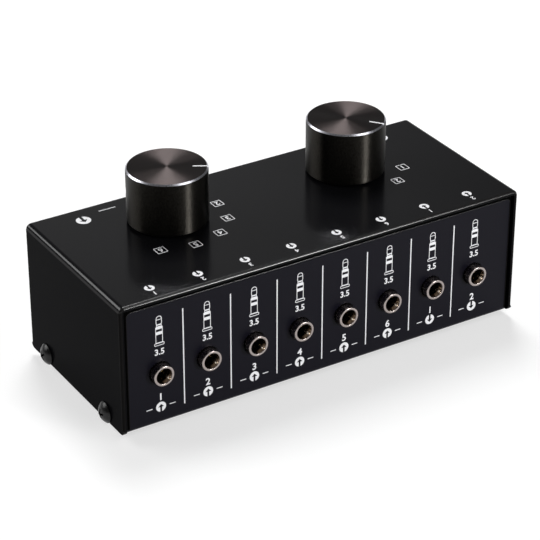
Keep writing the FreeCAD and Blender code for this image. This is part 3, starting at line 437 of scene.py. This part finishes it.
def cut(mesh, cutters):
    """The mesh with the cutters' shapes taken out of it."""
    body = new_object("cut_body", mesh)
    tools = []
    for cutter in cutters:
        tool = new_object("cut_tool", cutter)
        tools.append(tool)
        taken = body.modifiers.new("cut", "BOOLEAN")
        taken.operation = "DIFFERENCE"
        taken.solver = "EXACT"
        taken.object = tool
    result = evaluated(body)
    result.name = mesh.name
    for made in [body, *tools]:
        bpy.data.objects.remove(made)
    return result


def knob(side, x):
    """A turned knob with a spun top, a bright chamfer, a grub hole and a pointer line let into it."""
    low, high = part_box(f"{side}_knob")
    radius = (high.x - low.x) / MM / 2
    height = (high.z - low.z) / MM
    chamfer, foot_round, lip = 0.42, 0.6, 0.2
    hollow, hollow_top = 7.998, 4.0
    bore, bore_top = 3.02, 12.2
    inside = [(bore, hollow_top), (hollow, hollow_top), (hollow, lip), (hollow + lip, 0.0)]
    foot = arc((radius - foot_round, foot_round), foot_round, -90, 0, 5)
    top = [(radius, height - chamfer), (radius - chamfer, height), (0, height)]
    profile = [*inside, *foot, *top, (0, bore_top), (bore, bore_top)]
    on_side, on_top, on_edge = range(3)
    zones = [on_side] * len(profile)
    rim = len(inside) + len(foot)
    zones[rim] = on_edge
    zones[rim + 1] = on_top
    turn = turned(POINTER_TURNS[side], "Z")

    slot_start, slot_half, slot_depth, spare = 6.9, 0.35, 0.3, 1
    hole_radius, hole_start, hole_end, hole_height = 1.6, -2.5, -12.5, 9.0
    slot = block("pointer_slot", (slot_start, -slot_half, height - slot_depth),
                 (radius + spare, slot_half, height + spare))
    hole = rod("grub_hole", hole_radius, hole_start, hole_end, hole_height)
    slot.transform(turn)
    hole.transform(turn)
    mesh = paint(lathe(f"{side}_knob_turned", profile, 160, zones), KNOB_SIDE, KNOB_TOP, KNOB_EDGE)
    mesh = cut(mesh, [slot, hole])
    smooth(mesh, 25)
    at = (x * MM, KNOB_Y * MM, low.z)
    made = piece(f"{side}_knob_turned", mesh, f"{side}_dial", at)
    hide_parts(f"{side}_knob")

    line_start, line_end, line_half = 6.95, radius - 0.12, 0.32
    line_foot, line_top = height - 0.29, height - 0.05
    line = block("pointer", (line_start, -line_half, line_foot), (line_end, line_half, line_top))
    line.transform(turn)
    piece(f"{side}_knob_pointer_paint", paint(line, INK), f"{side}_dial", at)


def barrels():
    """Nickel barrels with a rounded rim, a coned mouth darkened with painted shade, and the nose of a
    contact spring inside.
    """
    outside, bore = 3.0, 1.8
    rim_round, lip_round, lip = 0.22, 0.1, 2.42
    in_nickel, in_painted_shade = range(2)
    nose_radius, nose_stretch = 0.62, (0.6, 1.6, 0.8)
    nose_x, nose_depth, nose_z = 1.32, 1.25, 16.85
    for kind, number, x in JACKS:
        node = f"{kind}_{number}_barrel"
        low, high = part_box(node)
        length = (high.y - low.y) / MM
        rim = arc((outside - rim_round, length - rim_round), rim_round, 0, 90, 5)
        rim += arc((lip, length - lip_round), lip_round, 90, 180, 3)
        mouth = [(2.28, length - 0.35), (1.82, length - 1.0), (bore, length - 1.1)]
        profile = [(bore, 0), (outside, 0), *rim, *mouth]
        zones = [in_nickel] * (len(profile) - len(mouth)) + [in_painted_shade] * len(mouth)
        mesh = paint(lathe(f"{node}_turned", profile, 72, zones), FINISHES["jack_nickel"], BORE_PAINTED_SHADE)
        mesh.transform(turned(90, "X"))
        smooth(mesh, 40)
        made = piece(f"{node}_turned", mesh, "case", (x * MM, high.y, JACK_Z * MM))
        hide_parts(node)

        name = f"{kind}_{number}_spring_nose"
        nose = paint(lathe(name, arc((0, 0), nose_radius, -90, 90, 12), 24), SPRING)
        nose.transform(Matrix.Diagonal((*nose_stretch, 1.0)))
        smooth(nose, 60)
        at = ((x + nose_x) * MM, low.y + nose_depth * MM, nose_z * MM)
        piece(name, nose, "case", at)


def side_screws():
    """Black domed heads with a cross recess, and a plain shank."""
    radius, height = 3.05, 1.8
    brim, brim_top = 0.12, 0.25
    shank, shank_end = 1.45, -4.2
    slot_length, slot_half, slot_floor = 1.4, 0.3, height - 1.0
    crown = height - brim_top
    ball = (radius ** 2 + crown ** 2) / (2 * crown)
    rise = math.degrees(math.asin(radius / ball))
    dome = arc((0, height - ball), ball, 90 - rise, 90, 10)
    below = [(0, shank_end), (shank, shank_end), (shank, 0), (radius - brim, 0), (radius, brim)]
    profile = [*below, *dome[:-1], (0, height)]
    heads = []
    for end, side in ((-1, "left"), (1, "right")):
        for y, row, cross_turn in ((SCREW_FRONT_Y, "front", 12), (SCREW_REAR_Y, "rear", 38)):
            cross = [
                block("slot", (-u, -v, slot_floor), (u, v, height + 1))
                for u, v in ((slot_length, slot_half), (slot_half, slot_length))
            ]
            mesh = cut(lathe("side_screw", profile, 64), cross)
            mesh.transform(turned(cross_turn, "Z"))
            mesh.transform(turned(90 * end, "Y"))
            smooth(mesh, 30)
            at = (end * SCREW_X * MM, y * MM, SCREW_Z * MM)
            mesh = paint(mesh, FINISHES["black_screws"])
            heads.append(piece(f"side_screw_{side}_{row}", mesh, "case", at))
    for made in heads:
        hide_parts("side_screws")


# Printed marks

INK_HEIGHT = 0.03
PANEL = Matrix.Translation((0, PANEL_Y * MM, 0)) @ turned(90, "X")
COVER = Matrix.Translation((0, 0, COVER_Z * MM))
INPUT_MARKS = ((-15.2, 18.4), (-12.63, 10.54), (-14.49, 1.73),
               (-20.42, -4.41), (-29.32, -6.63), (-38.94, -4.67))
OUTPUT_MARKS = ((43.51, 2.06), (37.65, -4.11))


def ink(name, shapes, place, height=INK_HEIGHT, material=INK):
    """Flat printed shapes in mm, each a list of closed loops, laid on a face by a matrix."""
    data = bpy.data.curves.new(name, "CURVE")
    data.dimensions = "2D"
    data.fill_mode = "BOTH"
    data.extrude = height * MM
    for loops in shapes:
        for points in loops:
            spline = data.splines.new("POLY")
            spline.points.add(len(points) - 1)
            for p, (u, v) in zip(spline.points, points):
                p.co = (u * MM, v * MM, 0, 1)
            spline.use_cyclic_u = True
    flat = new_object(name, data)
    mesh = evaluated(flat)
    bpy.data.objects.remove(flat)
    mesh.name = name
    mesh.materials.clear()
    mesh.transform(place)
    piece(name, paint(mesh, material), "case")


def rect(left, low, right, high):
    """The corners of a rectangle."""
    return [(left, low), (right, low), (right, high), (left, high)]


def round_rect(left, low, right, high, r):
    """A rectangle with rounded corners."""
    corners = ((right - r, high - r), (left + r, high - r), (left + r, low + r), (right - r, low + r))
    points = []
    for quarter, centre in enumerate(corners):
        points += arc(centre, r, 90 * quarter, 90 * quarter + 90, 4)
    return points


def shifted(loops, u, v, turn=0.0):
    """The loops turned by an angle in degrees and then moved."""
    c, s = math.cos(math.radians(turn)), math.sin(math.radians(turn))
    return [[(u + c * a - s * b, v + s * a + c * b) for a, b in loop] for loop in loops]


def arrow_disc(radius, up):
    """A printed disc with an arrow left out of it, pointing up for in and down for out."""
    stem = radius * 0.2
    tip, shoulder, half = 0.56 * radius, -0.06 * radius, 0.6 * radius
    gap = math.degrees(math.asin(stem / radius))
    edge = arc((0, 0), radius, -90 + gap, 270 - gap, 40)
    loop = [*edge, (-stem, shoulder), (-half, shoulder), (0, tip), (half, shoulder), (stem, shoulder)]
    return [loop] if up else [[(-u, -v) for u, v in loop]]


def plug_sign():
    """The outline of a jack plug, standing on its collar; 8.95 mm high."""
    line = 0.18
    collar_half, collar_top = 1.5, 0.85
    body_half, body_top = 1.08, 5.65
    neck_half, neck_top = 0.82, 6.3
    tip_centre = (0, 8.07)
    collar = [round_rect(-collar_half, 0.0, collar_half, collar_top, 0.3),
              round_rect(line - collar_half, line, collar_half - line, collar_top - line, 0.12)]
    body = [rect(-body_half, collar_top, body_half, body_top),
            rect(line - body_half, 0.98, body_half - line, 3.3),
            rect(line - body_half, 4.2, body_half - line, 4.95)]
    neck = [rect(-neck_half, body_top, neck_half, neck_top), rect(-0.66, 5.86, 0.66, 6.12)]
    tip_out = [(-0.74, neck_top), (-0.92, 6.9), (-0.88, 8.0), *arc(tip_centre, 0.88, 180, 0, 12)[1:-1],
               (0.88, 8.0), (0.92, 6.9), (0.74, neck_top)]
    tip_in = [(-0.58, 6.48), (-0.73, 6.9), (-0.7, 7.75), (0.7, 7.75), (0.73, 6.9), (0.58, 6.48)]
    cap_in = [(-0.68, 7.92), *arc(tip_centre, 0.68, 180, 0, 10)[1:-1], (0.68, 7.92)]
    return [collar, body, neck, [tip_out, tip_in, cap_in]]


def numeral(text, size):
    """A plain number from the built-in font as a centred mesh; the size is in mm."""
    bolder = 0.022
    data = bpy.data.curves.new("numeral", "FONT")
    data.body = text
    data.size = size * MM
    data.offset = bolder * size * MM
    data.align_x = "CENTER"
    data.align_y = "CENTER"
    data.extrude = INK_HEIGHT * MM
    data.resolution_u = 4
    flat = new_object("numeral", data)
    mesh = evaluated(flat)
    bpy.data.objects.remove(flat)
    across, up = (
        (min(v.co[i] for v in mesh.vertices) + max(v.co[i] for v in mesh.vertices)) / 2
        for i in (0, 1)
    )
    mesh.transform(Matrix.Translation((-across, -up, 0)))
    return mesh


def numbers(name, marks, place, turn=0):
    """One piece of (text, size, u, v) marks in mm, each turned in its place, laid on a face by a matrix."""
    joined = bmesh.new()
    for text, size, u, v in marks:
        mesh = numeral(text, size)
        mesh.transform(Matrix.Translation((u * MM, v * MM, 0)) @ turned(turn, "Z"))
        joined.from_mesh(mesh)
    mesh = to_mesh(joined, name)
    mesh.transform(place)
    piece(name, paint(mesh, INK), "case")


def panel_print():
    """Separators, plug signs, sizes and plain numbers, over arrow discs between short dashes."""
    first_line, line_half, line_foot, line_top = -44.1, 0.165, 5.9, 35.2
    sign_foot, size_row, number_row, disc_row = 26.2, 24.3, 10.4, 7.28
    dash_near, dash_far, dash_low, dash_high = 2.6, 4.4, 7.17, 7.41
    disc_radius, size_height, number_height = 1.5, 2.5, 2.9
    lines = [
        [rect(x - line_half, line_foot, x + line_half, line_top)]
        for x in (first_line + JACK_PITCH * i for i in range(len(JACKS) - 1))
    ]
    signs = []
    marks = []
    for kind, number, x in JACKS:
        signs += [shifted(loops, x, sign_foot) for loops in plug_sign()]
        signs.append(shifted(arrow_disc(disc_radius, kind == "input_jack"), x, disc_row))
        for left, right in ((-dash_far, -dash_near), (dash_near, dash_far)):
            signs.append([rect(x + left, dash_low, x + right, dash_high)])
        marks.append(("3.5", size_height, x, size_row))
        marks.append((str(number), number_height, x, number_row))
    ink("panel_separators", lines, PANEL)
    ink("panel_signs", signs, PANEL)
    numbers("panel_numbers", marks, PANEL)


def arch(left, right, foot, top, corner):
    """A path up one side, over the top and down the other side, with two rounded corners."""
    return [(left, foot), *arc((left + corner, top - corner), corner, 180, 90, 8),
            *arc((right - corner, top - corner), corner, 90, 0, 8), (right, foot)]


def panel_rim():
    """The light line of the panel's rounded edge, and a near-black strip of painted shade for the gap
    between it and the cover.
    """
    foot, corner = 3.2, 1.4
    left, right, top = -60.75, 61.35, 38.5
    opening_half, opening_top = 61.7, 39.6
    bead_half, shoulder, shoulder_height = 0.13, 0.1, 0.08
    gap_height = 0.015
    path = arch(left, right, foot, top, corner)
    outward = arch(-1, 1, 0, 1, 1)
    section = [(-bead_half, 0.0), (-shoulder, shoulder_height), (0.0, bead_half),
               (shoulder, shoulder_height), (bead_half, 0.0)]
    made = bmesh.new()
    rows = [[made.verts.new(((u + a * p) * MM, (v + b * p) * MM, h * MM)) for p, h in section]
            for (u, v), (a, b) in zip(path, outward)]
    for first, second in zip(rows, rows[1:]):
        for i in range(len(section)):
            j = (i + 1) % len(section)
            made.faces.new((first[i], first[j], second[j], second[i]))
    made.faces.new(rows[0])
    made.faces.new(rows[-1])
    bmesh.ops.recalc_face_normals(made, faces=made.faces)
    mesh = paint(to_mesh(made, "panel_edge_line"), SHEET_EDGE_PAINTED_LIGHT)
    mesh.transform(PANEL)
    smooth(mesh, 60)
    piece("panel_edge_line", mesh, "case")
    opening = arch(-opening_half, opening_half, foot, opening_top, corner)
    # Painted shade: the gap is a flat near-black strip laid on the panel, not a recess.
    ink("panel_gap_painted_shade", [[[*opening, *reversed(path)]]], PANEL, gap_height, GAP_PAINTED_SHADE)


def cover_print():
    """Boxed dial numbers, arrow discs with plain numbers, and a sign beside each knob."""
    outline = ((1.55, 0.3), (1.33, 0.15))
    disc_row, number_row = -20.75, -23.75
    disc_radius, number_height, dial_height = 1.4, 2.2, 2.6
    knob_disc_x, knob_disc_y, knob_disc_radius = 48.7, 21.0, 2.1
    knob_line = rect(-42.8, 23.34, -37.6, 23.66)
    frames = []
    marks = []
    for places in (INPUT_MARKS, OUTPUT_MARKS):
        for i, (u, v) in enumerate(places):
            frames.append([round_rect(u - half, v - half, u + half, v + half, r) for half, r in outline])
            marks.append((str(i + 1), dial_height, u, v))
    for kind, number, x in JACKS:
        frames.append(shifted(arrow_disc(disc_radius, kind == "input_jack"), x, disc_row, 180))
        marks.append((str(number), number_height, x, number_row))
    for x, up in ((-knob_disc_x, True), (knob_disc_x, False)):
        frames.append(shifted(arrow_disc(knob_disc_radius, up), x, knob_disc_y, 180))
    frames.append([knob_line])
    ink("cover_signs", frames, COVER)
    numbers("cover_numbers", marks, COVER, 180)


# CAD nodes

# Places on the cover that are this near, in mm, count as one
SAME_PLACE = 0.02


def on_outer_rim(point):
    """Whether a point of the cover lies on its front or rear opening, on the outer side of the sheet."""
    low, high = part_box("top_cover")
    near = SAME_PLACE * MM
    if min(abs(point.y - low.y), abs(point.y - high.y)) > near:
        return False
    fold = COVER_FOLD * MM
    across = abs(point.x) - (high.x - fold)
    up = point.z - (high.z - fold)
    if across > 0 and up > 0:
        return math.hypot(across, up) > fold - near
    return abs(point.x) > high.x - near or point.z > high.z - near


def mark_outer_rim(mesh):
    """Gives the edges along the cover's two openings a bevel weight."""
    weights = mesh.attributes.new("bevel_weight_edge", "FLOAT", "EDGE")
    for edge in mesh.edges:
        first, second = (mesh.vertices[i].co for i in edge.vertices)
        if on_outer_rim(first) and on_outer_rim(second) and abs(first.y - second.y) < SAME_PLACE * MM:
            weights.data[edge.index].value = 1.0


def bevel(node, name, width, segments, limit, clamp=True):
    """Rounds the sharp or the weighted edges of a node; the width is in mm."""
    made = node.modifiers.new(name, "BEVEL")
    made.use_clamp_overlap = clamp
    made.width = width * MM
    made.segments = segments
    made.limit_method = limit
    made.angle_limit = math.radians(50)
    return made


def round_sheet(node, is_cover):
    """Rounds a folded sheet's edges in the edge material with its painted highlight and shade, most of all
    round the cover's two openings.
    """
    paint(node.data, SHEET_EDGE_PAINTED_LIGHT)
    plain = node.modifiers.new("plain", "DECIMATE")
    plain.decimate_type = "DISSOLVE"
    plain.angle_limit = math.radians(0.5)
    if is_cover:
        mark_outer_rim(node.data)
        bevel(node, "outer_rim", 0.8, 7, "WEIGHT", clamp=False).material = 1
    bevel(node, "rim", 0.12, 3, "ANGLE", clamp=not is_cover).material = 1
    flat = node.modifiers.new("flat", "WEIGHTED_NORMAL")
    flat.keep_sharp = True


def dress_nodes():
    """Gives every CAD node its slot's finish and clean shading, and rounds the edges of sheet and feet."""
    for row in frame["record"]["subparts"]:
        name = row["node"]
        node = frame["nodes"][name]
        node.data.materials.clear()
        paint(node.data, FINISHES[row["material_slot"]])
        if "custom_normal" in node.data.attributes:
            node.data.attributes.remove(node.data.attributes["custom_normal"])
        smooth(node.data, 30)
        weld = node.modifiers.new("weld", "WELD")
        weld.merge_threshold = 0.001 * MM
        if name == "rubber_feet":
            bevel(node, "rim", 0.4, 3, "ANGLE")
        if name in ("top_cover", "chassis"):
            round_sheet(node, name == "top_cover")


# Put together

bpy.context.scene.view_settings.view_transform = "Standard"
camera()
lamps()
world()
floor()
dress_nodes()
knob("input", -KNOB_X)
knob("output", KNOB_X)
barrels()
side_screws()
panel_print()
panel_rim()
cover_print()
